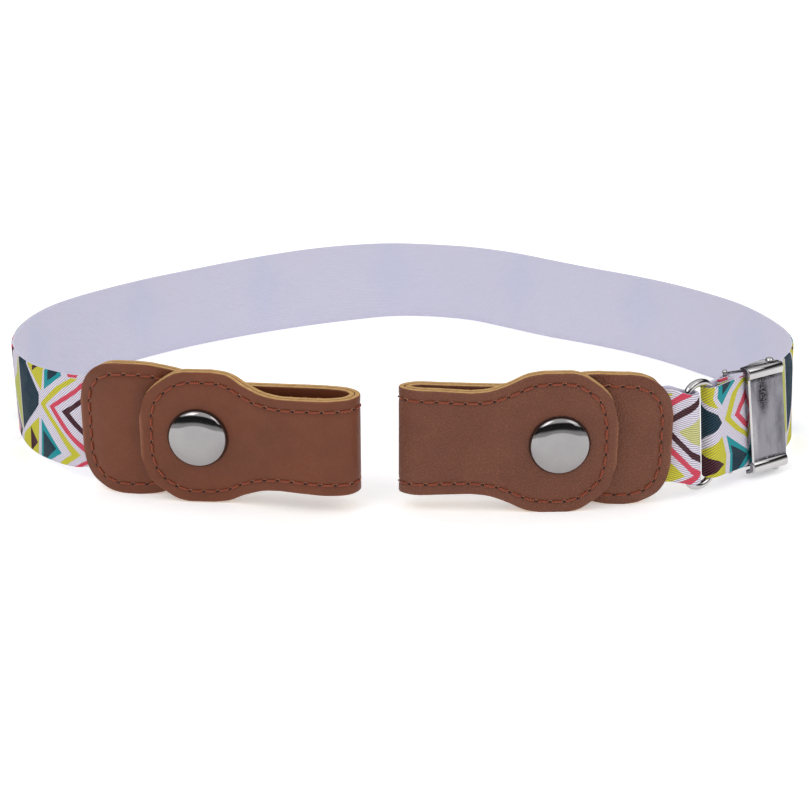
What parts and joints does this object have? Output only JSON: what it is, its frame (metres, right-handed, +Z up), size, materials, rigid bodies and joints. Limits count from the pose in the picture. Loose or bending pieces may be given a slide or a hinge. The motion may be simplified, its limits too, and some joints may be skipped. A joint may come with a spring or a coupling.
{
  "type": "buckle-free elastic belt",
  "caption": "Printed elastic belt with no buckle: a snapped leather loop at each end, an oval ring and an adjuster clasp.",
  "frame": {"origin": "middle of the footprint, on the surface the belt stands on", "axes": "+Z up, across the strap; -Y towards the two leather loops at the front; +X towards the adjuster clasp's side"},
  "size_m": [0.2176, 0.1657, 0.0364],
  "materials": {
    "printed_elastic": "matte ribbed weave with a printed pattern",
    "leather_face": "fine pebble grain, satin",
    "leather_lining": "plain, satin",
    "polished_nickel": "polished"
  },
  "bodies": {
    "belt": {"elastic_strap": "printed_elastic", "short_strap": "printed_elastic", "oval_ring": "polished_nickel", "clasp_back": "polished_nickel", "clasp_rivet_top": "polished_nickel", "clasp_rivet_bottom": "polished_nickel", "left_leather_face": "leather_face", "left_leather_lining": "leather_lining", "left_snap_cap": "polished_nickel", "left_snap_socket": "polished_nickel", "left_snap_stud": "polished_nickel", "left_snap_back": "polished_nickel", "right_leather_face": "leather_face", "right_leather_lining": "leather_lining", "right_snap_cap": "polished_nickel", "right_snap_socket": "polished_nickel", "right_snap_stud": "polished_nickel", "right_snap_back": "polished_nickel"},
    "lever": {"clasp_lever": "polished_nickel"}
  },
  "joints": [
    {"name": "lever_pivot", "type": "hinge", "parent": "belt", "child": "lever", "pos_m": [0.09661, -0.05099, 0.01521], "axis": [-0.0961, 0.1367, 0.9859], "range_deg": [0, 60]}
  ]
}
